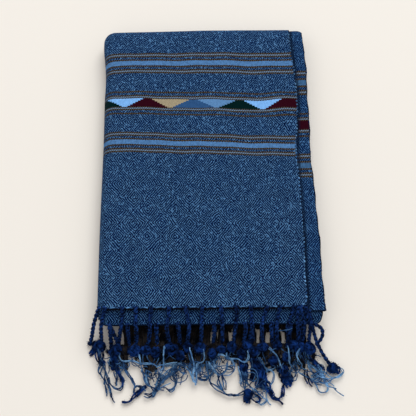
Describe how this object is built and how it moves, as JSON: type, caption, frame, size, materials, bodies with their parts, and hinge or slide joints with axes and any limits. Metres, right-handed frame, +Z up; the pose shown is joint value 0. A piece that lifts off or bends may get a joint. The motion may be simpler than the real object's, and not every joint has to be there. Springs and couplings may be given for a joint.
{
  "type": "wool muffler",
  "caption": "Handwoven blue wool muffler folded flat into a long pile, with banded end, triangle border and twisted knotted fringe at the front.",
  "frame": {"origin": "on the table, under the middle of the whole outline with its fringe", "axes": "+X across the pile from the long fold to the selvedges, +Y from the fringe to the thick back fold, +Z up"},
  "size_m": [0.186, 0.302, 0.02],
  "materials": {
    "cloth": "heathered navy and mid-blue wool, diamond twill, slightly napped",
    "fringe": "matt navy wool yarn, plied and knotted, with paler crimped ends"
  },
  "bodies": {
    "root": {"top_stretch": "cloth", "under_stretch": "cloth", "lower_end": "cloth", "folded_core": "cloth", "top_fringe": "fringe", "lower_fringe": "fringe"}
  },
  "joints": []
}
